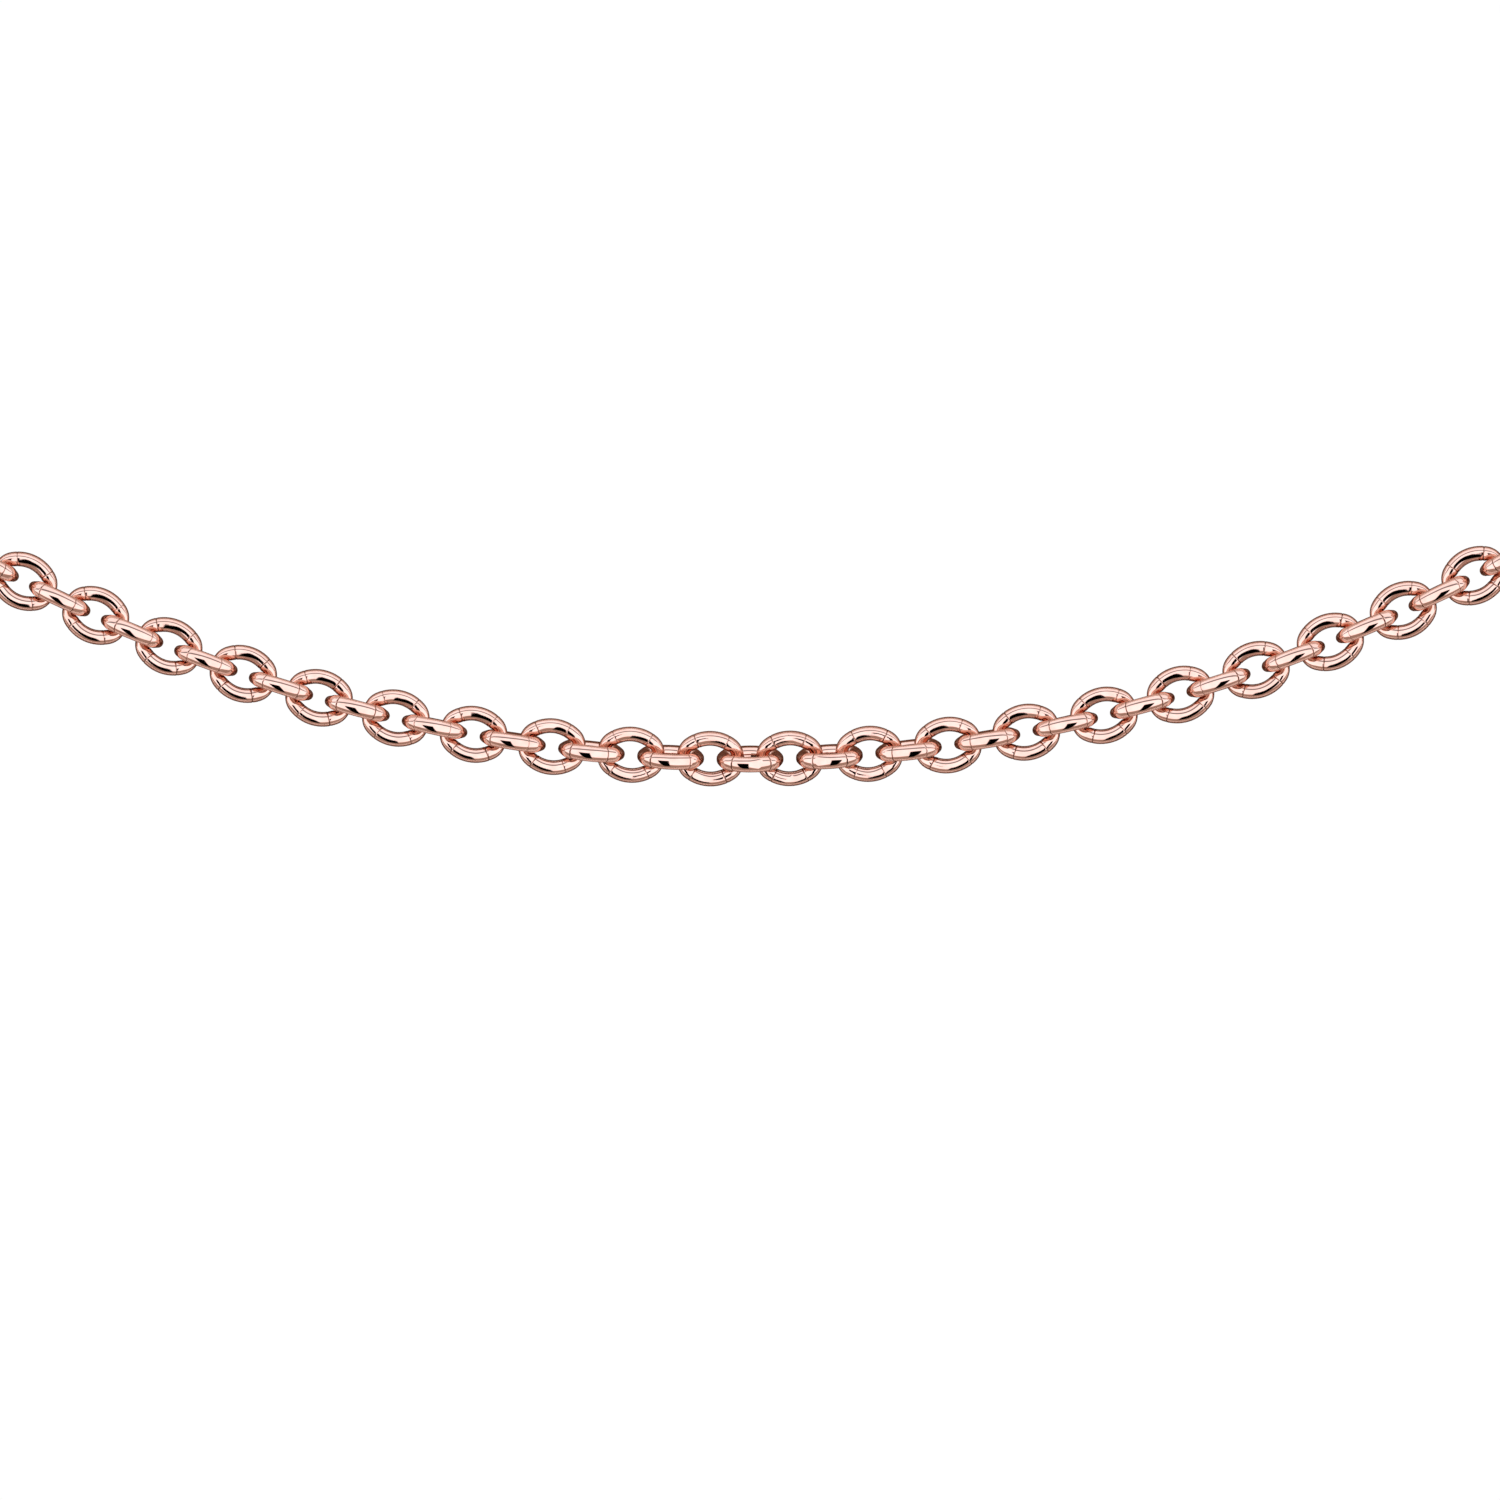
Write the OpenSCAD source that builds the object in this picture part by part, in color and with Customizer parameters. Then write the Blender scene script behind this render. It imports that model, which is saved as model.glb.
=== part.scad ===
// Oval-link chain necklace with a spring-ring clasp, unfastened and laid flat on a table.
// Units are millimetres. +Z is up from the table.
// The origin is on the table under the centre of the middle link, at the lowest point of the curve.

/* [Chain] */
// Outer length of one oval link
link_l = 2.83; // [1.5:0.01:6]
// Outer width of one oval link
link_w = 2.40; // [1.2:0.01:5]
// Wire diameter of the links
wire_d = 0.56; // [0.3:0.01:1.2]
// Gap between the wires of two pulled-out links
play = 0.04; // [0.02:0.01:0.2]
// Length of the straight pin at each end of the oval
pin_l = 0.24; // [0.1:0.01:0.4]

/* [Layout] */
// Radius of the curve at its lowest point
curve_r = 62.5; // [40:0.5:120]
// How far the middle links lean over, in degrees
lean_mid = 15; // [0:1:25]
// Distance along the chain over which the lean fades away
lean_span = 7.5; // [2:0.5:30]

/* [Clasp] */
// Radius from the middle of the clasp to the middle of its tube
clasp_r = 2.4; // [1.8:0.1:4]
// Outer radius of the clasp tube
tube_r = 0.70; // [0.5:0.01:1]
// Wall of the clasp tube
tube_wall = 0.15; // [0.1:0.01:0.3]
// Clearance all round the sliding bolt
bolt_gap = 0.07; // [0.03:0.01:0.15]
// Angle of the mouth that the bolt closes
mouth_deg = 50; // [30:1:70]
// Wire diameter of the clasp's eye
eye_d = 0.45; // [0.3:0.01:0.8]
// Middle radius of the clasp's eye
eye_r = 0.75; // [0.5:0.01:1.5]

/* [Rings] */
// Wire diameter of the jump ring between chain and clasp
jump_d = 0.50; // [0.3:0.01:0.9]
// Middle radius of the jump ring
jump_r = 1.10; // [0.8:0.01:2]
// Wire diameter of the catch ring
catch_d = 0.60; // [0.4:0.01:1]
// Middle radius of the catch ring
catch_r = 1.70; // [1.2:0.01:3]

/* [Hidden] */
$fn = 48;
rose_gold = [0.86, 0.58, 0.46];
spring_steel = [0.70, 0.70, 0.72];

// Link: half sizes of the wire's centre line
half_l = (link_l - wire_d) / 2;
half_w = (link_w - wire_d) / 2;
pin_h = pin_l / 2;
// the end and side arcs of the oval meet on a 3-4-5 triangle, so every centre is a round number
turn_cos = 0.6;
turn_sin = 0.8;
turn_deg = atan2(turn_sin, turn_cos);
arc_gap = (half_l - half_w + pin_h) / (1 - turn_cos);
end_x = turn_cos * arc_gap;
end_r = half_l - end_x;
side_r = end_r + arc_gap;
side_y = turn_sin * arc_gap - pin_h;
pitch = link_l - 2 * wire_d - play;

// Chain: links 1 to 20 on each side stand alone, then six runs of nineteen
singles = 20;
run_n = 19;
last_link = 134;
lift = link_w / 2;

// Ends: everything beyond the last link is placed along its own centre line
end_s = last_link * pitch;
hole_end = half_l - wire_d / 2;
jump_z = 1.10;
jump_in = hole_end - play - jump_d / 2;
jump_x = jump_in + jump_r;
eye_z = 1.00;
eye_in = jump_in + 2 * jump_r - jump_d / 2 - play - eye_d / 2;
eye_x = eye_in + eye_r;
// the eye sinks into the clasp tube by this much and is cut back to its surface
eye_sink = 0.17;
solder_gap = 0.01;
case_x = eye_x + eye_r + eye_d / 2 - eye_sink + tube_r + clasp_r;
case_z = tube_r;

// Clasp: angles round the ring, 0 away from the chain and 180 at the eye
bore_r = tube_r - tube_wall;
bolt_r = bore_r - bolt_gap;
mouth_from = 60;
mouth_to = mouth_from + mouth_deg;
nose_in = 8;
nose_to = mouth_to + nose_in;
nose_slack = 5;
nose_bore_to = nose_to + nose_slack;
cut_over = 2;
bolt_tail = -30;
slot_from = -38;
slot_to = 40;
slot_w = 0.54;
lug_deg = 30;
lug_r = 0.20;
lug_out = 1.25;
spring_stop = 212;
spring_turns = 11;
spring_wire_r = 0.08;
spring_coil_r = 0.36;
spring_slack = 3;
spring_from = spring_stop + spring_slack;
spring_to = 360 + bolt_tail - spring_slack;
spring_steps = 10;
spring_sides = 5;

// Catch ring: its near side runs through the last link, its far side rests on the table
catch_near_z = 1.05;
catch_tilt = asin((catch_near_z - catch_d / 2) / (2 * catch_r));
catch_slack = 0.02;
catch_in = hole_end - play - catch_slack - catch_d / 2;

// Place on the curve for a distance s along the chain, and its heading there
function curve_x(s) = curve_r * ln(s / curve_r + sqrt(pow(s / curve_r, 2) + 1));
function curve_y(s) = curve_r * (sqrt(pow(s / curve_r, 2) + 1) - 1);
function heading(s) = atan(s / curve_r);
function lean(s) = lean_mid * exp(-pow(s / lean_span, 2));

// One arc of link wire, about the origin in the XY plane
module wire_arc(radius, from_deg, sweep_deg) {
    rotate_extrude(start = from_deg, angle = sweep_deg, $fn = 96)
        translate([radius, 0]) circle(d = wire_d);
}

// One oval link, lying in the XY plane with its length along X
module oval_link() {
    for (sx = [0, 1]) {
        rotate([0, 0, 180 * sx]) {
            translate([end_x, pin_h, 0]) wire_arc(end_r, 0, turn_deg);
            translate([end_x, -pin_h, 0]) wire_arc(end_r, -turn_deg, turn_deg);
            translate([half_l, 0, 0]) rotate([90, 0, 0])
                cylinder(d = wire_d, h = pin_l, center = true);
            translate([0, -side_y, 0]) wire_arc(side_r, turn_deg, 180 - 2 * turn_deg);
        }
    }
}

// Link number k: even links stand upright and odd ones lie flat
module chain_link(k) {
    s = k * pitch;
    upright = k % 2 == 0 ? 90 : 0;
    translate([curve_x(s), curve_y(s), lift]) rotate([0, 0, heading(s)])
        rotate([lean(s) + upright, 0, 0]) oval_link();
}

// Run number i on one side (-1 left, 1 right), counted outwards from the single links
module chain_run(side, i) {
    first = singles + 1 + (i - 1) * run_n;
    for (k = [first : first + run_n - 1]) {
        chain_link(side * k);
    }
}

// Frame at one end of the chain, with X pointing away along the last link
module at_end(side) {
    translate([curve_x(side * end_s), curve_y(side * end_s), 0])
        rotate([0, 0, heading(side * end_s) + (side < 0 ? 180 : 0)]) children();
}

// A closed round-wire ring in the XY plane
module ring(radius, wire) {
    rotate_extrude($fn = 96) translate([radius, 0]) circle(d = wire);
}

// An arc of round bar about the clasp's middle
module clasp_arc(radius, from_deg, to_deg) {
    rotate_extrude(start = from_deg, angle = to_deg - from_deg, $fn = 144)
        translate([clasp_r, 0]) circle(r = radius);
}

// Frame at the clasp's middle
module at_clasp() {
    at_end(-1) translate([case_x, 0, case_z]) children();
}

// The centre link and the twenty single links on each side of it
module link_c00() color(rose_gold) chain_link(0);
module link_l01() color(rose_gold) chain_link(-1);
module link_l02() color(rose_gold) chain_link(-2);
module link_l03() color(rose_gold) chain_link(-3);
module link_l04() color(rose_gold) chain_link(-4);
module link_l05() color(rose_gold) chain_link(-5);
module link_l06() color(rose_gold) chain_link(-6);
module link_l07() color(rose_gold) chain_link(-7);
module link_l08() color(rose_gold) chain_link(-8);
module link_l09() color(rose_gold) chain_link(-9);
module link_l10() color(rose_gold) chain_link(-10);
module link_l11() color(rose_gold) chain_link(-11);
module link_l12() color(rose_gold) chain_link(-12);
module link_l13() color(rose_gold) chain_link(-13);
module link_l14() color(rose_gold) chain_link(-14);
module link_l15() color(rose_gold) chain_link(-15);
module link_l16() color(rose_gold) chain_link(-16);
module link_l17() color(rose_gold) chain_link(-17);
module link_l18() color(rose_gold) chain_link(-18);
module link_l19() color(rose_gold) chain_link(-19);
module link_l20() color(rose_gold) chain_link(-20);
module link_r01() color(rose_gold) chain_link(1);
module link_r02() color(rose_gold) chain_link(2);
module link_r03() color(rose_gold) chain_link(3);
module link_r04() color(rose_gold) chain_link(4);
module link_r05() color(rose_gold) chain_link(5);
module link_r06() color(rose_gold) chain_link(6);
module link_r07() color(rose_gold) chain_link(7);
module link_r08() color(rose_gold) chain_link(8);
module link_r09() color(rose_gold) chain_link(9);
module link_r10() color(rose_gold) chain_link(10);
module link_r11() color(rose_gold) chain_link(11);
module link_r12() color(rose_gold) chain_link(12);
module link_r13() color(rose_gold) chain_link(13);
module link_r14() color(rose_gold) chain_link(14);
module link_r15() color(rose_gold) chain_link(15);
module link_r16() color(rose_gold) chain_link(16);
module link_r17() color(rose_gold) chain_link(17);
module link_r18() color(rose_gold) chain_link(18);
module link_r19() color(rose_gold) chain_link(19);
module link_r20() color(rose_gold) chain_link(20);

// The rest of each side, as runs of links that move as one
module run_l1() color(rose_gold) chain_run(-1, 1);
module run_l2() color(rose_gold) chain_run(-1, 2);
module run_l3() color(rose_gold) chain_run(-1, 3);
module run_l4() color(rose_gold) chain_run(-1, 4);
module run_l5() color(rose_gold) chain_run(-1, 5);
module run_l6() color(rose_gold) chain_run(-1, 6);
module run_r1() color(rose_gold) chain_run(1, 1);
module run_r2() color(rose_gold) chain_run(1, 2);
module run_r3() color(rose_gold) chain_run(1, 3);
module run_r4() color(rose_gold) chain_run(1, 4);
module run_r5() color(rose_gold) chain_run(1, 5);
module run_r6() color(rose_gold) chain_run(1, 6);

// Clasp tube: a bent tube with a mouth, a bore at both sides of it and a slot for the lug
module clasp_case() color(rose_gold) at_clasp() {
    difference() {
        clasp_arc(tube_r, mouth_to, 360 + mouth_from);
        clasp_arc(bore_r, mouth_to - cut_over, nose_bore_to);
        clasp_arc(bore_r, spring_stop, 360 + mouth_from + cut_over);
        rotate_extrude(start = slot_from, angle = slot_to - slot_from, $fn = 144)
            translate([clasp_r, -slot_w / 2]) square([2 * tube_r, slot_w]);
    }
}

// Eye: a small upright ring soldered to the tube
module clasp_eye() color(rose_gold) {
    difference() {
        at_end(-1) translate([eye_x, 0, eye_z]) rotate([90, 0, 0]) ring(eye_r, eye_d);
        at_clasp() rotate_extrude($fn = 144) translate([clasp_r, 0]) circle(r = tube_r + solder_gap);
    }
}

// A point on the spring's wire: t is how far along the coil, wire its place across the wire
function coil_point(t, wire) =
    let (a = spring_from + t * (spring_to - spring_from), b = 360 * spring_turns * t)
    let (out = clasp_r + (spring_coil_r + wire[0]) * cos(b))
    [out * cos(a) - wire[1] * sin(a), out * sin(a) + wire[1] * cos(a), (spring_coil_r + wire[0]) * sin(b)];

// Spring: a coil bent along the bore behind the bolt
module clasp_spring() color(spring_steel) at_clasp() {
    steps = spring_turns * spring_steps;
    points = [
        for (i = [0 : steps], j = [0 : spring_sides - 1])
            coil_point(i / steps, spring_wire_r * [cos(360 * j / spring_sides), sin(360 * j / spring_sides)])
    ];
    walls = [
        for (i = [0 : steps - 1], j = [0 : spring_sides - 1])
            let (jn = (j + 1) % spring_sides, a = i * spring_sides, b = (i + 1) * spring_sides)
            each [[a + j, a + jn, b + jn], [a + j, b + jn, b + j]]
    ];
    caps = [
        for (j = [1 : spring_sides - 2])
            each [[0, j + 1, j], [0, j, j + 1] + steps * spring_sides * [1, 1, 1]]
    ];
    polyhedron(points = points, faces = concat(walls, caps), convexity = 4);
}

// Bolt: a bent bar that closes the mouth and slides back round the bore
module clasp_bolt() color(rose_gold) at_clasp() {
    clasp_arc(bolt_r, bolt_tail, nose_to);
}

// Lug: the thumb pin on the bolt, standing out through the slot
module clasp_lug() color(rose_gold) at_clasp() {
    difference() {
        rotate([0, 0, lug_deg]) translate([clasp_r, 0, 0]) {
            rotate([0, 90, 0]) cylinder(r = lug_r, h = lug_out);
            translate([lug_out, 0, 0]) sphere(r = lug_r);
        }
        rotate_extrude($fn = 144) translate([clasp_r, 0]) circle(r = bolt_r + solder_gap);
    }
}

// Jump ring: joins the last link on the left to the clasp's eye
module clasp_jump_ring() color(rose_gold) at_end(-1) {
    translate([jump_x, 0, jump_z]) ring(jump_r, jump_d);
}

// Catch ring: the closed ring on the right end that the clasp hooks into
module catch_ring() color(rose_gold) at_end(1) {
    translate([catch_in, 0, catch_near_z]) rotate([0, catch_tilt, 0])
        translate([catch_r, 0, 0]) ring(catch_r, catch_d);
}

link_c00();
link_l01();
link_l02();
link_l03();
link_l04();
link_l05();
link_l06();
link_l07();
link_l08();
link_l09();
link_l10();
link_l11();
link_l12();
link_l13();
link_l14();
link_l15();
link_l16();
link_l17();
link_l18();
link_l19();
link_l20();
link_r01();
link_r02();
link_r03();
link_r04();
link_r05();
link_r06();
link_r07();
link_r08();
link_r09();
link_r10();
link_r11();
link_r12();
link_r13();
link_r14();
link_r15();
link_r16();
link_r17();
link_r18();
link_r19();
link_r20();
run_l1();
run_l2();
run_l3();
run_l4();
run_l5();
run_l6();
run_r1();
run_r2();
run_r3();
run_r4();
run_r5();
run_r6();
clasp_case();
clasp_eye();
clasp_spring();
clasp_bolt();
clasp_lug();
clasp_jump_ring();
catch_ring();
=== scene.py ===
import math
import random

import bmesh
import bpy
from mathutils import Matrix, Vector


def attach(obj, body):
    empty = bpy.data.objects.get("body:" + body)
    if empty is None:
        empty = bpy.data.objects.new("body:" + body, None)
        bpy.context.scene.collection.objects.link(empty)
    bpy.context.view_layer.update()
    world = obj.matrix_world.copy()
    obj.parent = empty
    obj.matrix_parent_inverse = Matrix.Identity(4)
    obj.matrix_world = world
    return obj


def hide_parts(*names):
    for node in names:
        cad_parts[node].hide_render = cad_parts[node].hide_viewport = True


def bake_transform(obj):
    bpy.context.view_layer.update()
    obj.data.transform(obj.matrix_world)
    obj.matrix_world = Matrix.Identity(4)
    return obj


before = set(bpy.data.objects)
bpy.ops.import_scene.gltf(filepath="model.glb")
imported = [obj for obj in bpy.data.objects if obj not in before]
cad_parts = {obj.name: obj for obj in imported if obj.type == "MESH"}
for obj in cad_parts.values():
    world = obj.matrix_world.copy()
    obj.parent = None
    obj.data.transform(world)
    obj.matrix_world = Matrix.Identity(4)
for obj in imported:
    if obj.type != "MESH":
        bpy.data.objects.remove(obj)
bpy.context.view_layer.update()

MM = 0.001

# The chain, as in the frame: half sizes of a link's centre line, its wire, and the curve the links lie on
LINK_LENGTH = 2.83 * MM
LINK_WIDTH = 2.40 * MM
WIRE = 0.56 * MM
PLAY = 0.04 * MM
PIN_HALF = 0.12 * MM
CURVE_R = 62.5 * MM
LEAN = math.radians(15)
LEAN_SPAN = 7.5 * MM
HALF_LENGTH = (LINK_LENGTH - WIRE) / 2
HALF_WIDTH = (LINK_WIDTH - WIRE) / 2
PITCH = LINK_LENGTH - 2 * WIRE - PLAY
LIFT = LINK_WIDTH / 2
SINGLES = 20
RUNS = 6
RUN_LINKS = 19
LAST_LINK = SINGLES + RUNS * RUN_LINKS

# The oval's end arcs and side arcs meet on a 3-4-5 triangle
TURN = math.atan2(4, 3)
ARC_GAP = (HALF_LENGTH - HALF_WIDTH + PIN_HALF) / (1 - math.cos(TURN))
END_X = math.cos(TURN) * ARC_GAP
END_R = HALF_LENGTH - END_X
SIDE_R = END_R + ARC_GAP
SIDE_Y = math.sin(TURN) * ARC_GAP - PIN_HALF

# The wire's section: half sizes outwards, inwards and across the link's plane. The last two are given at the
# ends and at the sides of a link, with the angles from its end between which they change.
WIRE_OUT = 0.275 * MM
WIRE_IN = (0.28 * MM, 0.35 * MM)
WIRE_ACROSS = (0.25 * MM, 0.33 * MM)
IN_CHANGES = (math.radians(25), math.radians(65))
ACROSS_CHANGES = (math.radians(8), math.radians(50))


def link_frame(number):
    """Where link number (negative on the left) lies, with its length along X and its plane XY."""
    s = number * PITCH
    place = Vector((CURVE_R * math.asinh(s / CURVE_R), CURVE_R * (math.hypot(1, s / CURVE_R) - 1), LIFT))
    roll = LEAN * math.exp(-((s / LEAN_SPAN) ** 2))
    if number % 2 == 0:
        roll += math.pi / 2
    heading = math.atan(s / CURVE_R)
    return Matrix.Translation(place) @ Matrix.Rotation(heading, 4, "Z") @ Matrix.Rotation(roll, 4, "X")


def centre_line(angle):
    """The point of a link's centre line whose outward direction is at this angle."""
    quarter_cos, quarter_sin = abs(math.cos(angle)), abs(math.sin(angle))
    if quarter_cos >= math.cos(TURN):
        x, y = END_X + END_R * quarter_cos, PIN_HALF + END_R * quarter_sin
    else:
        x, y = SIDE_R * quarter_cos, SIDE_R * quarter_sin - SIDE_Y
    return Vector((math.copysign(x, math.cos(angle)), math.copysign(y, math.sin(angle)), 0))


def from_end_to_side(angle, sizes, change):
    """A size that goes from its value at a link's ends to its value at the sides."""
    from_end = math.atan2(abs(math.sin(angle)), abs(math.cos(angle)))
    t = min(max((from_end - change[0]) / (change[1] - change[0]), 0), 1)
    return sizes[0] + (sizes[1] - sizes[0]) * t * t * (3 - 2 * t)


# Marks left by the bending tool, a little past where each end arc meets a side arc
MARK_ANGLE = math.radians(62)
MARK_SPREAD = math.radians(5)
MARK_DEPTH = 0.018 * MM
MARK_HALF = 0.022 * MM
MARK_STEPS = (-1.8, -1.1, -0.5, 0, 0.5, 1.1, 1.8)
MARK_LEAST = 0.4
MARK_FALL = 1.5
# How far the base colour darkens to dark brown in a tool mark, for each share of the mark's depth
MARK_DARKEN = 1.6
# How far the wire's thickness wavers round a link
WAVER = 0.004 * MM


def turn_between(a, b):
    """The smaller angle between two directions."""
    return abs((a - b + math.pi) % math.tau - math.pi)


def stations(steps_end, steps_side, marks, rng):
    """(angle, inset) all round a link, with extra stations at each tool mark."""
    found = []
    for half in (0, math.pi):
        for i in range(steps_end + 1):
            found.append((half - TURN + 2 * TURN * i / steps_end, 0))
        for i in range(1, steps_side):
            found.append((half + TURN + (math.pi - 2 * TURN) * i / steps_side, 0))
    if marks:
        for middle in (MARK_ANGLE, math.pi - MARK_ANGLE, math.pi + MARK_ANGLE, -MARK_ANGLE):
            middle += rng.uniform(-MARK_SPREAD, MARK_SPREAD)
            depth = MARK_DEPTH * rng.uniform(MARK_LEAST, 1)
            reach = MARK_HALF / SIDE_R
            found = [(a, d) for a, d in found if turn_between(a, middle) > 2 * reach]
            for step in MARK_STEPS:
                found.append((middle + step * reach, depth * math.exp(-step * step * MARK_FALL)))
    return sorted(((a + TURN) % math.tau - TURN, d) for a, d in found)


def add_link(bm, groove, where, mesh_steps, rng, marks):
    """Sweeps one closed link into bm. mesh_steps is FINE or COARSE."""
    steps_end, steps_side, sides = mesh_steps
    rings = []
    slow, fast, _ = (rng.uniform(0, math.tau) for _ in range(3))
    for angle, inset in stations(steps_end, steps_side, marks, rng):
        middle = centre_line(angle)
        outward = Vector((math.cos(angle), math.sin(angle), 0))
        waver = WAVER * (math.sin(2 * angle + slow) + math.sin(3 * angle + fast))
        inward = from_end_to_side(angle, WIRE_IN, IN_CHANGES)
        across = from_end_to_side(angle, WIRE_ACROSS, ACROSS_CHANGES)
        ring = []
        for j in range(sides):
            turn = math.tau * j / sides
            half = WIRE_OUT if math.cos(turn) > 0 else inward
            out = (half - inset) * math.cos(turn)
            up = (across - inset + waver) * math.sin(turn)
            vert = bm.verts.new(where @ (middle + outward * out + Vector((0, 0, up))))
            # How far the base colour darkens to dark brown here, from the depth of the tool mark
            vert[groove] = min(1, MARK_DARKEN * inset / MARK_DEPTH)
            ring.append(vert)
        rings.append(ring)
    skin(bm, rings, closed=True)


def skin(bm, rings, closed=False):
    """Joins a row of rings of points into a smooth tube; an open tube gets a flat face at each end."""
    count, sides = len(rings), len(rings[0])
    for i in range(count if closed else count - 1):
        a, b = rings[i], rings[(i + 1) % count]
        for j in range(sides):
            k = (j + 1) % sides
            bm.faces.new((a[j], b[j], b[k], a[k]))
    if not closed:
        bm.faces.new(rings[0])
        bm.faces.new(reversed(rings[-1]))


SHARP_OVER = math.radians(50)


def finish_mesh(name, bm, place, material, body, nodes):
    """Makes bm a piece, moved to its place, that rides on a body and stands in for the frame's nodes."""
    mesh = bpy.data.meshes.new(name)
    bmesh.ops.recalc_face_normals(bm, faces=bm.faces)
    bmesh.ops.transform(bm, matrix=place, verts=bm.verts)
    for face in bm.faces:
        face.smooth = True
    bm.to_mesh(mesh)
    bm.free()
    mesh.set_sharp_from_angle(angle=SHARP_OVER)
    mesh.materials.append(material)
    piece = bpy.data.objects.new(name, mesh)
    bpy.context.scene.collection.objects.link(piece)
    if body:
        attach(piece, body)
    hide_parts(*nodes)
    return piece


# How fine the metal's patterns are, in noise cells per metre
TONE_SCALE = 2200
POLISH_SCALE = 5200
DENT_SCALE = 1300
DENT_DEPTH = 0.05 * MM


def metal(name, low, high, edge, rough_low, rough_high, bump):
    """Metal of slightly uneven colour and polish with tiny dents, and brown in its tool marks."""
    material = bpy.data.materials.new(name)
    material.use_nodes = True
    nodes, links = material.node_tree.nodes, material.node_tree.links
    shader = next(n for n in nodes if n.type == "BSDF_PRINCIPLED")
    place = nodes.new("ShaderNodeTexCoord")

    def noise(scale, detail):
        node = nodes.new("ShaderNodeTexNoise")
        node.inputs["Scale"].default_value = scale
        node.inputs["Detail"].default_value = detail
        links.new(place.outputs["Object"], node.inputs["Vector"])
        return node.outputs["Fac"]

    ramp = nodes.new("ShaderNodeValToRGB")
    ramp.color_ramp.elements[0].position = 0.35
    ramp.color_ramp.elements[0].color = low
    ramp.color_ramp.elements[1].position = 0.65
    ramp.color_ramp.elements[1].color = high
    links.new(noise(TONE_SCALE, 4), ramp.inputs["Fac"])
    # Base colour darkened to dark brown by the groove attribute, most where a tool mark is deepest
    groove_level = nodes.new("ShaderNodeAttribute")
    groove_level.attribute_name = "groove"
    groove_darken = nodes.new("ShaderNodeMix")
    groove_darken.data_type = "RGBA"
    groove_darken.inputs["B"].default_value = (0.16, 0.06, 0.03, 1)
    links.new(groove_level.outputs["Fac"], groove_darken.inputs["Factor"])
    links.new(ramp.outputs["Color"], groove_darken.inputs["A"])
    links.new(groove_darken.outputs["Result"], shader.inputs["Base Color"])
    polish = nodes.new("ShaderNodeMapRange")
    polish.inputs["From Min"].default_value = 0.3
    polish.inputs["From Max"].default_value = 0.7
    polish.inputs["To Min"].default_value = rough_low
    polish.inputs["To Max"].default_value = rough_high
    links.new(noise(POLISH_SCALE, 3), polish.inputs["Value"])
    links.new(polish.outputs["Result"], shader.inputs["Roughness"])
    relief = nodes.new("ShaderNodeBump")
    relief.inputs["Strength"].default_value = bump
    relief.inputs["Distance"].default_value = DENT_DEPTH
    links.new(noise(DENT_SCALE, 1), relief.inputs["Height"])
    links.new(relief.outputs["Normal"], shader.inputs["Normal"])
    shader.inputs["Metallic"].default_value = 1
    shader.inputs["Specular Tint"].default_value = edge
    return material


rose = ((0.73, 0.455, 0.36, 1), (0.80, 0.525, 0.425, 1), (1, 0.82, 0.75, 1))
grey = ((0.42, 0.42, 0.44, 1), (0.55, 0.55, 0.57, 1), (0.9, 0.9, 0.9, 1))
gold = metal("rose_gold", *rose, 0.02, 0.07, 0.3)
steel = metal("spring_steel", *grey, 0.18, 0.34, 0.5)

# Stations on an end arc, on a side arc, and points round the wire
FINE = (22, 16, 24)
COARSE = (12, 8, 14)
LINK_SEED = 500


def make_links(name, wire_name, numbers, mesh_steps, marks):
    """One piece with the links of these numbers."""
    bm = bmesh.new()
    groove = bm.verts.layers.float.new("groove")
    for number in numbers:
        add_link(bm, groove, link_frame(number), mesh_steps, random.Random(number + LINK_SEED), marks)
    finish_mesh(wire_name, bm, Matrix.Identity(4), gold, name, [name])


def make_chain():
    """The single links in fine mesh with tool marks, and the runs beyond the picture in a coarser mesh."""
    make_links("link_c00", "link_c00_wire", [0], FINE, True)
    for side, sign in (("l", -1), ("r", 1)):
        for k in range(1, SINGLES + 1):
            name = f"link_{side}{k:02d}"
            make_links(name, f"{name}_wire", [sign * k], FINE, True)
    for side, sign in (("l", -1), ("r", 1)):
        for run in range(1, RUNS + 1):
            first = SINGLES + 1 + (run - 1) * RUN_LINKS
            name = f"run_{side}{run}"
            make_links(name, f"{name}_wires", [sign * (first + i) for i in range(RUN_LINKS)], COARSE, False)


make_chain()


# The clasp, as in the frame. Angles go round its ring: 0 is away from the chain and 180 is at the eye.
CLASP_R = 2.4 * MM
TUBE_R = 0.70 * MM
BORE_R = 0.55 * MM
BOLT_R = 0.48 * MM
EYE_WIRE = 0.45 * MM
EYE_R = 0.75 * MM
EYE_Z = 1.00 * MM
EYE_SINK = 0.17 * MM
SOLDER_GAP = 0.01 * MM
JUMP_WIRE = 0.50 * MM
JUMP_R = 1.10 * MM
JUMP_Z = 1.10 * MM
# The jump ring's cut: degrees round it, and half the gap in degrees
JUMP_CUT = 55
CUT_HALF = 0.55
CATCH_WIRE = 0.60 * MM
CATCH_R = 1.70 * MM
CATCH_Z = 1.05 * MM
CATCH_SLACK = 0.02 * MM
# The catch ring's solder joint, in degrees round it, and how much slimmer than the bead its wire is
CATCH_JOINT = 40
BEAD_SPREAD = 4
CATCH_BEAD = 0.03
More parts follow.
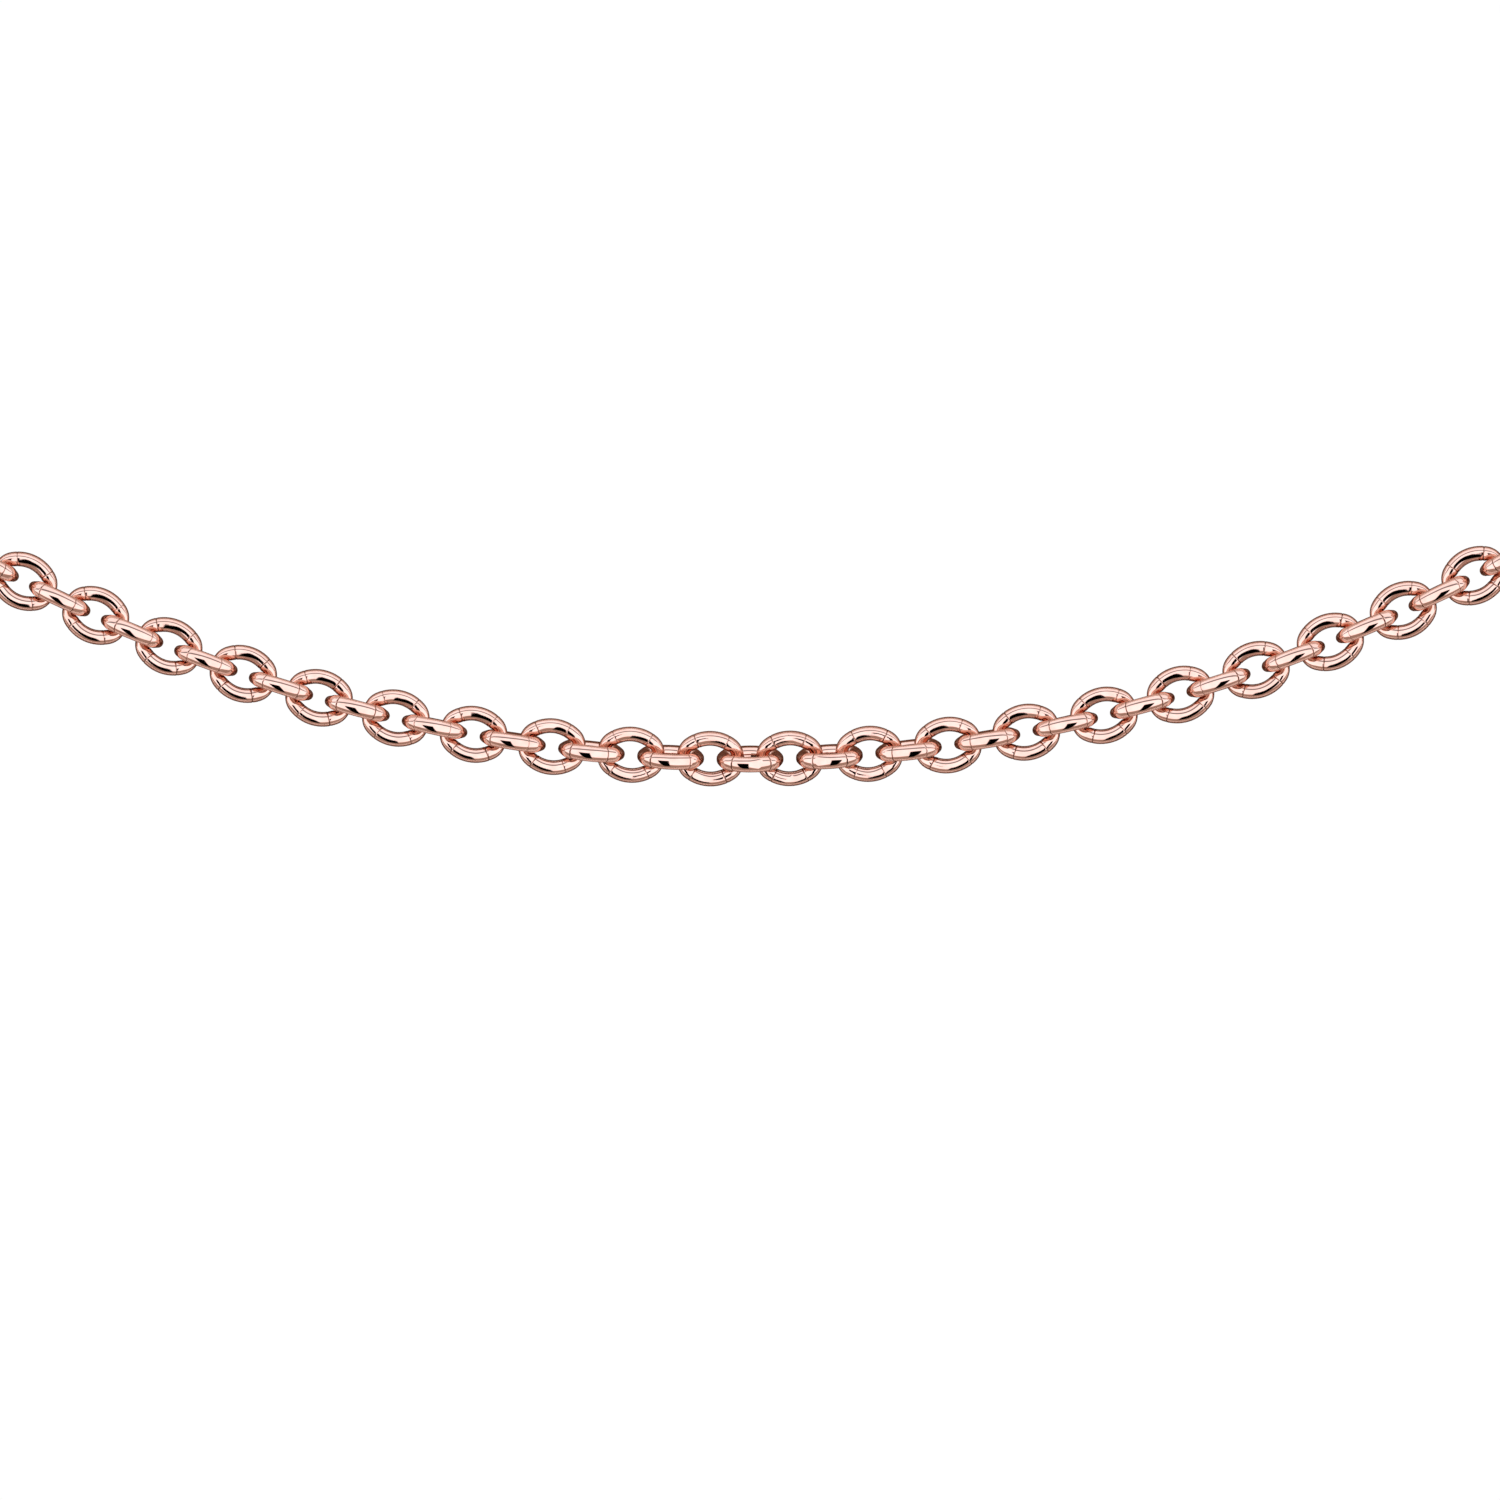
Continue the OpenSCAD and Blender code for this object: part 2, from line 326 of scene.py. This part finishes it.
# The links drawn here have fuller sides than in the frame, so the catch ring lies this much further from them
CATCH_EASE = 0.03 * MM
MOUTH_FROM, MOUTH_TO = 60, 110
NOSE_BORE_TO = 123
NOSE_TO = 118
BOLT_TAIL = -30
SPRING_STOP = 212
SPRING_FROM, SPRING_TO = 215, 327
SPRING_TURNS = 11
SPRING_COIL = 0.36 * MM
SPRING_WIRE_R = 0.08 * MM
SLOT_FROM, SLOT_TO = 322, 400
SLOT_HALF = 0.27 * MM
LUG_AT = 30
LUG_R = 0.20 * MM
LUG_OUT = 1.25 * MM
DOME_TURNS = (0, 0.3, 0.6, 0.9, 1.15, 1.35, 1.5)
HOLE_END = HALF_LENGTH - WIRE / 2
JUMP_X = HOLE_END - PLAY - JUMP_WIRE / 2 + JUMP_R
EYE_X = JUMP_X + JUMP_R - JUMP_WIRE / 2 - PLAY - EYE_WIRE / 2 + EYE_R
CASE_X = EYE_X + EYE_R + EYE_WIRE / 2 - EYE_SINK + TUBE_R + CLASP_R
CASE_Z = TUBE_R
RIM = 0.03 * MM
# Mesh of the tube: degrees between its rings, and points round the wall and across the slot
CASE_STEP = 3.5
WALL_SIDES = 40
SLOT_SIDES = 6
# Solder at the eye's foot: how much it thickens the wire and how far it reaches
SOLDER_SWELL = 0.28
SOLDER_REACH = 0.22 * MM


def end_frame(side):
    """The table under the last link on one side, with X pointing away from the chain."""
    s = side * LAST_LINK * PITCH
    place = Vector((CURVE_R * math.asinh(s / CURVE_R), CURVE_R * (math.hypot(1, s / CURVE_R) - 1), 0))
    turned = math.pi if side < 0 else 0
    return Matrix.Translation(place) @ Matrix.Rotation(math.atan(s / CURVE_R) + turned, 4, "Z")


clasp_place = end_frame(-1) @ Matrix.Translation((CASE_X, 0, CASE_Z))
UP = Vector((0, 0, 1))


def spoke(degrees):
    return Vector((math.cos(math.radians(degrees)), math.sin(math.radians(degrees)), 0))


def section(bm, middle, out, up, radius, turns):
    """One ring of points round a tube."""
    return [bm.verts.new(middle + radius * (math.cos(t) * out + math.sin(t) * up)) for t in turns]


def even_turns(sides):
    return [math.tau * j / sides for j in range(sides)]


def add_arc(bm, radius, wire_r, span, steps, sides, ends):
    """A bent bar about Z. ends are (degrees from the end, share of the wire), from the very tip inwards."""
    low, high = span
    between = [low + (high - low) * i / steps for i in range(1, steps)]
    first = [(low + back, share) for back, share in ends]
    last = [(high - back, share) for back, share in reversed(ends)]
    reach = ends[-1][0]
    path = first + [(a, 1) for a in between if low + reach < a < high - reach] + last
    turns = even_turns(sides)
    skin(bm, [section(bm, radius * spoke(a), spoke(a), UP, wire_r * share, turns) for a, share in path])


def push_out(bm, centre, radius):
    """Seats a piece on the clasp's tube or bolt: points inside it are moved out to its skin."""
    for vert in bm.verts:
        flat = Vector((vert.co.x - centre.x, vert.co.y - centre.y, 0))
        core = centre + CLASP_R * flat.normalized()
        away = vert.co - core
        if away.length < radius:
            vert.co = core + away.normalized() * radius


def case_angles():
    """Where the clasp's tube has a ring of points: evenly between its mouth, stops and slot ends."""
    stops = [MOUTH_TO, NOSE_BORE_TO, SPRING_STOP, SLOT_FROM, SLOT_TO, 360 + MOUTH_FROM]
    angles = []
    for a, b in zip(stops, stops[1:]):
        steps = max(2, round((b - a) / CASE_STEP))
        angles += [a + (b - a) * i / steps for i in range(steps)]
    return angles + [stops[-1]]


def case_turns(radius):
    """Angles round the tube's section: the wall from one slot edge to the other, then across the slot."""
    edge = math.asin(SLOT_HALF / radius)
    wall = [edge + (math.tau - 2 * edge) * i / WALL_SIDES for i in range(WALL_SIDES + 1)]
    return wall + [edge * (2 * i / SLOT_SIDES - 1) for i in range(1, SLOT_SIDES)]


def make_case():
    """Tube with a bore on both sides of the mouth, a stop in each bore, a slot and rounded rims."""
    bm = bmesh.new()
    angles = case_angles()

    def ring_at(angle, radius):
        return section(bm, CLASP_R * spoke(angle), spoke(angle), UP, radius, case_turns(radius))

    outer = [ring_at(a, TUBE_R) for a in angles]
    inner = [None if NOSE_BORE_TO < a < SPRING_STOP else ring_at(a, BORE_R) for a in angles]
    sides = len(outer[0])

    def join(a, b, picked):
        for j in picked:
            k = (j + 1) % sides
            bm.faces.new((a[j], b[j], b[k], a[k]))

    everything = range(sides)
    for i in range(len(angles) - 1):
        open_here = SLOT_FROM <= angles[i] and angles[i + 1] <= SLOT_TO
        picked = range(WALL_SIDES) if open_here else everything
        join(outer[i], outer[i + 1], picked)
        if inner[i] and inner[i + 1]:
            join(inner[i], inner[i + 1], picked)
        if open_here:
            for j in (0, WALL_SIDES):
                bm.faces.new((outer[i][j], outer[i + 1][j], inner[i + 1][j], inner[i][j]))
    for angle in (MOUTH_TO, 360 + MOUTH_FROM):
        i = angles.index(angle)
        join(outer[i], inner[i], everything)
    for angle in (SLOT_FROM, SLOT_TO):
        i = angles.index(angle)
        join(outer[i], inner[i], range(WALL_SIDES, sides))
    for angle in (NOSE_BORE_TO, SPRING_STOP):
        bm.faces.new(inner[angles.index(angle)])
    bmesh.ops.recalc_face_normals(bm, faces=bm.faces)
    bmesh.ops.delete(bm, geom=[v for v in bm.verts if not v.link_faces], context="VERTS")
    sharp = [e for e in bm.edges if len(e.link_faces) == 2 and e.calc_face_angle() > SHARP_OVER]
    bmesh.ops.bevel(
        bm, geom=sharp, offset=RIM, segments=3, profile=0.5, affect="EDGES", clamp_overlap=True
    )
    finish_mesh("clasp_tube", bm, clasp_place, gold, "clasp_case", ["clasp_case"])


def make_eye():
    """Small ring on edge, thickened with solder where it meets the tube."""
    bm = bmesh.new()
    centre = Vector((EYE_X, 0, EYE_Z))
    tube_middle = Vector((CASE_X, 0, CASE_Z))
    rings = []
    for turn in even_turns(72):
        out = Vector((math.cos(turn), 0, math.sin(turn)))
        middle = centre + EYE_R * out
        gap = max(0, (middle - tube_middle + CLASP_R * Vector((1, 0, 0))).length - TUBE_R)
        wire_r = EYE_WIRE / 2 * (1 + SOLDER_SWELL * math.exp(-((gap / SOLDER_REACH) ** 2)))
        rings.append(section(bm, middle, out, Vector((0, 1, 0)), wire_r, even_turns(28)))
    skin(bm, rings, closed=True)
    push_out(bm, tube_middle, TUBE_R + SOLDER_GAP)
    finish_mesh("clasp_eye_ring", bm, end_frame(-1), gold, "clasp_case", ["clasp_eye"])


def make_spring():
    """Coil bent along the bore, from its stop to the bolt's tail. It is fixed in place and does not follow
    the bolt.
    """
    bm = bmesh.new()
    rings = []
    steps = SPRING_TURNS * 28
    for i in range(steps + 1):
        share = i / steps
        out = spoke(SPRING_FROM + share * (SPRING_TO - SPRING_FROM))
        turn = math.tau * SPRING_TURNS * share
        coil = math.cos(turn) * out + math.sin(turn) * UP
        middle = CLASP_R * out + SPRING_COIL * coil
        rings.append(section(bm, middle, coil, UP.cross(out), SPRING_WIRE_R, even_turns(10)))
    skin(bm, rings)
    coil = finish_mesh("clasp_spring_coil", bm, clasp_place, steel, None, ["clasp_spring"])
    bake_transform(coil)


def make_bolt():
    """The bar that closes the mouth, with rounded ends."""
    bm = bmesh.new()
    tip = [(0, 0.62), (0.5, 0.78), (1.2, 0.9), (2.2, 0.97), (3.4, 1)]
    add_arc(bm, CLASP_R, BOLT_R, (BOLT_TAIL, NOSE_TO), 56, 32, tip)
    finish_mesh("clasp_bolt_bar", bm, clasp_place, gold, "clasp_bolt", ["clasp_bolt"])


def make_lug():
    """The thumb pin: a foot seated on the bolt, a waisted neck and a dome, as (mm out, share of LUG_R)."""
    bm = bmesh.new()
    out = spoke(LUG_AT)
    foot = [(0.40, 0.1), (0.40, 0.35), (0.40, 0.62), (0.40, 0.9), (0.40, 1.15)]
    neck = [(0.52, 1.12), (0.60, 1.0), (0.75, 0.94), (0.95, 0.9), (1.05, 0.93), (1.13, 1.0)]
    profile = [(far * MM, share) for far, share in foot + neck]
    profile += [(LUG_OUT + LUG_R * math.sin(t), math.cos(t)) for t in DOME_TURNS]
    across, turns = UP.cross(out), even_turns(24)
    skin(bm, [section(bm, (CLASP_R + far) * out, across, UP, LUG_R * share, turns) for far, share in profile])
    push_out(bm, Vector((0, 0, 0)), BOLT_R + SOLDER_GAP)
    finish_mesh("clasp_thumb_lug", bm, clasp_place, gold, "clasp_bolt", ["clasp_lug"])


def make_jump_ring():
    """Cut through and bent shut, with slightly rounded ends at the cut."""
    bm = bmesh.new()
    edge = [(0, 0.93), (0.5, 0.98), (1.2, 1)]
    span = (JUMP_CUT + CUT_HALF, JUMP_CUT + 360 - CUT_HALF)
    add_arc(bm, JUMP_R, JUMP_WIRE / 2, span, 90, 28, edge)
    place = end_frame(-1) @ Matrix.Translation((JUMP_X, 0, JUMP_Z))
    finish_mesh("jump_ring_wire", bm, place, gold, "clasp_jump_ring", ["clasp_jump_ring"])


def make_catch_ring():
    """A closed ring with a low bead at its solder joint; it hangs in the last link and rests on the table."""
    bm = bmesh.new()
    rings = []
    for turn in even_turns(96):
        out = Vector((math.cos(turn), math.sin(turn), 0))
        bead = CATCH_BEAD * math.exp(-(((math.degrees(turn) - CATCH_JOINT) / BEAD_SPREAD) ** 2))
        wire_r = CATCH_WIRE / 2 * (1 - CATCH_BEAD + bead)
        rings.append(section(bm, CATCH_R * out, out, UP, wire_r, even_turns(32)))
    skin(bm, rings, closed=True)
    tilt = math.asin((CATCH_Z - CATCH_WIRE / 2) / (2 * CATCH_R))
    near = HOLE_END - PLAY - CATCH_SLACK - CATCH_WIRE / 2
    eased = Matrix.Translation((near - CATCH_EASE, 0, CATCH_Z + CATCH_EASE))
    place = end_frame(1) @ eased @ Matrix.Rotation(tilt, 4, "Y") @ Matrix.Translation((CATCH_R, 0, 0))
    finish_mesh("catch_ring_wire", bm, place, gold, "catch_ring", ["catch_ring"])


make_case()
make_eye()
make_spring()
make_bolt()
make_lug()
make_jump_ring()
make_catch_ring()


# The camera looks straight down on the middle of the chain
VIEW_WIDTH = 63.08 * MM
CAMERA_HEIGHT = 0.8
CAMERA_ROLL = math.radians(-0.22)
VIEW_UP = 0.38 * MM


def make_camera():
    data = bpy.data.cameras.new("camera")
    data.sensor_width = 36
    data.lens = data.sensor_width * CAMERA_HEIGHT / VIEW_WIDTH
    data.clip_start, data.clip_end = 0.01, 20
    camera = bpy.data.objects.new("camera", data)
    bpy.context.scene.collection.objects.link(camera)
    camera.location = (0, VIEW_UP, LIFT + CAMERA_HEIGHT)
    camera.rotation_euler = (0, 0, CAMERA_ROLL)
    bpy.context.scene.camera = camera


make_camera()


def quad(name, corners, material):
    """One flat stage sheet."""
    bm = bmesh.new()
    bm.faces.new([bm.verts.new(corner) for corner in corners])
    mesh = bpy.data.meshes.new(name)
    bm.to_mesh(mesh)
    bm.free()
    mesh.materials.append(material)
    sheet = bpy.data.objects.new(name, mesh)
    bpy.context.scene.collection.objects.link(sheet)
    return sheet


# The studio: the white level of the sheet, and how far from the chain the table's card goes from its painted
# contact shade to pale
SHEET_WHITE = 1.02
FLOOR_HALF = 3.0
FLOOR_Z = -0.02 * MM
BACKDROP_Z = -300 * MM
CONTACT_SHADE_NEAR = 1.2 * MM
CONTACT_SHADE_FAR = 6.0 * MM

# The tent's light and its parts, in degrees from straight up towards the far side, or sideways where said so.
# Each has how dark it is, from 0 to 1.
TENT_LIGHT = 1.75
NEAR_FROM, NEAR_FULL, NEAR_DARK = -40, -50, 0.74
SEAM_FROM, SEAM_TO, SEAM_SOFT, SEAM_DARK = 34, 52, 3, 0.8
FAR_FROM, FAR_FULL, FAR_DARK = 38, 42, 0.13
OPENING_SIDEWAYS_FROM, OPENING_SIDEWAYS_TO, OPENING_SIDEWAYS_SOFT = 4, 35, 1.5
OPENING_FROM, OPENING_TO, OPENING_SOFT = -67, 3, 2


def level_sheet(name, z, material):
    h = FLOOR_HALF
    return quad(name, [(-h, -h, z), (h, -h, z), (h, h, z), (-h, h, z)], material)


def stage_material(name):
    """An empty material with its nodes, links and output."""
    material = bpy.data.materials.new(name)
    material.use_nodes = True
    nodes, links = material.node_tree.nodes, material.node_tree.links
    nodes.clear()
    return material, nodes, links, nodes.new("ShaderNodeOutputMaterial")


def make_table():
    """The table as the metal mirrors it, with painted contact shade: darkest close to the chain, by the
    length of the ray that meets it, and warm-tinted as a painted reflection of the copper. From below it lets
    light through.
    """
    material, nodes, links, out = stage_material("floor_card")
    mix = nodes.new("ShaderNodeMixShader")
    seen = nodes.new("ShaderNodeLightPath")
    facing = nodes.new("ShaderNodeNewGeometry")
    clear = nodes.new("ShaderNodeBsdfTransparent")
    card = nodes.new("ShaderNodeBsdfDiffuse")
    reach = nodes.new("ShaderNodeMapRange")
    reach.interpolation_type = "SMOOTHSTEP"
    reach.inputs["From Min"].default_value = CONTACT_SHADE_NEAR
    reach.inputs["From Max"].default_value = CONTACT_SHADE_FAR
    links.new(seen.outputs["Ray Length"], reach.inputs["Value"])
    # Card colour: painted contact shade, dark brown for short rays near the chain to pale for long ones,
    # warm-tinted as a painted reflection of the copper
    tint = nodes.new("ShaderNodeMix")
    tint.data_type = "RGBA"
    tint.inputs["A"].default_value = (0.20, 0.11, 0.07, 1)
    tint.inputs["B"].default_value = (0.92, 0.77, 0.68, 1)
    links.new(reach.outputs[0], tint.inputs["Factor"])
    links.new(tint.outputs["Result"], card.inputs["Color"])
    links.new(facing.outputs["Backfacing"], mix.inputs[0])
    links.new(card.outputs[0], mix.inputs[1])
    links.new(clear.outputs[0], mix.inputs[2])
    links.new(mix.outputs[0], out.inputs[0])
    sheet = level_sheet("floor_card", FLOOR_Z, material)
    sheet.visible_camera = False


def make_floor():
    """The plain white sheet that the camera sees, low enough for a pose that hangs below the table."""
    material, nodes, links, out = stage_material("floor_white")
    bright = nodes.new("ShaderNodeEmission")
    bright.inputs["Strength"].default_value = SHEET_WHITE
    links.new(bright.outputs[0], out.inputs[0])
    sheet = level_sheet("floor", BACKDROP_Z, material)
    sheet.visible_glossy = False
    sheet.visible_diffuse = False


make_table()
make_floor()


def tent_light(tree, direction, openings):
    """Colour and strength of the white tent along a direction: a dark seam on the far side, a dim warm near
    side and, where asked for, two dark openings beside the camera."""
    nodes, links = tree.nodes, tree.links

    def math_node(kind, *values):
        """The output of one math node on numbers or sockets."""
        node = nodes.new("ShaderNodeMath")
        node.operation = kind
        for socket, value in zip(node.inputs, values):
            if isinstance(value, (int, float)):
                socket.default_value = value
            else:
                links.new(value, socket)
        return node.outputs[0]

    def ramp(value, start, end, low=0.0, high=1.0):
        """Goes from low to high as value goes from start to end, in degrees."""
        node = nodes.new("ShaderNodeMapRange")
        node.interpolation_type = "SMOOTHSTEP"
        node.inputs["From Min"].default_value = math.radians(start)
        node.inputs["From Max"].default_value = math.radians(end)
        node.inputs["To Min"].default_value = low
        node.inputs["To Max"].default_value = high
        links.new(value, node.inputs["Value"])
        return node.outputs[0]

    def band(value, low, high, soft):
        """1 between low and high degrees and 0 outside them, with soft edges."""
        rise = ramp(value, low - soft, low + soft)
        return math_node("MULTIPLY", rise, ramp(value, high - soft, high + soft, 1, 0))

    split = nodes.new("ShaderNodeSeparateXYZ")
    links.new(direction, split.inputs[0])
    x, y, z = split.outputs
    up_y = math_node("ARCTAN2", y, z)
    near = ramp(up_y, NEAR_FROM, NEAR_FULL)
    seam = math_node("MULTIPLY", band(up_y, SEAM_FROM, SEAM_TO, SEAM_SOFT), SEAM_DARK)
    far = ramp(up_y, FAR_FROM, FAR_FULL, 0, FAR_DARK)
    shade = math_node("MAXIMUM", math_node("MAXIMUM", seam, far), math_node("MULTIPLY", near, NEAR_DARK))
    if openings:
        sideways = math_node("ABSOLUTE", math_node("ARCTAN2", x, z))
        across = band(sideways, OPENING_SIDEWAYS_FROM, OPENING_SIDEWAYS_TO, OPENING_SIDEWAYS_SOFT)
        opening = math_node("MULTIPLY", across, band(up_y, OPENING_FROM, OPENING_TO, OPENING_SOFT))
        shade = math_node("MAXIMUM", shade, opening)
    tint = nodes.new("ShaderNodeMix")
    tint.data_type = "RGBA"
    tint.inputs["A"].default_value = (0.95, 1, 1.12, 1)
    tint.inputs["B"].default_value = (1, 0.78, 0.70, 1)
    links.new(near, tint.inputs["Factor"])
    strength = math_node("MULTIPLY", math_node("SUBTRACT", 1, shade), TENT_LIGHT)
    return tint.outputs["Result"], strength


def make_divider():
    """A card on edge beside the middle link, between the two halves of the chain; seen only in the metal."""
    material, nodes, links, out = stage_material("divider_white")
    bright = nodes.new("ShaderNodeEmission")
    place = nodes.new("ShaderNodeTexCoord")
    colour, strength = tent_light(material.node_tree, place.outputs["Object"], False)
    links.new(colour, bright.inputs["Color"])
    links.new(strength, bright.inputs["Strength"])
    links.new(bright.outputs[0], out.inputs[0])
    low, high, half = 3.5 * MM, 2.0, 1.0
    x = HALF_LENGTH + WIRE / 2
    card = quad("divider", [(x, -half, low), (x, half, low), (x, half, high), (x, -half, high)], material)
    card.visible_camera = False
    card.visible_diffuse = False
    card.visible_shadow = False


make_divider()


def make_tent():
    """The tent as the world's light."""
    world = bpy.data.worlds.new("tent")
    bpy.context.scene.world = world
    world.use_nodes = True
    nodes, links = world.node_tree.nodes, world.node_tree.links
    nodes.clear()
    out = nodes.new("ShaderNodeOutputWorld")
    back = nodes.new("ShaderNodeBackground")
    where = nodes.new("ShaderNodeTexCoord")
    colour, strength = tent_light(world.node_tree, where.outputs["Generated"], True)
    links.new(colour, back.inputs["Color"])
    links.new(strength, back.inputs["Strength"])
    links.new(back.outputs[0], out.inputs[0])


make_tent()
bpy.context.scene.view_settings.view_transform = "Standard"
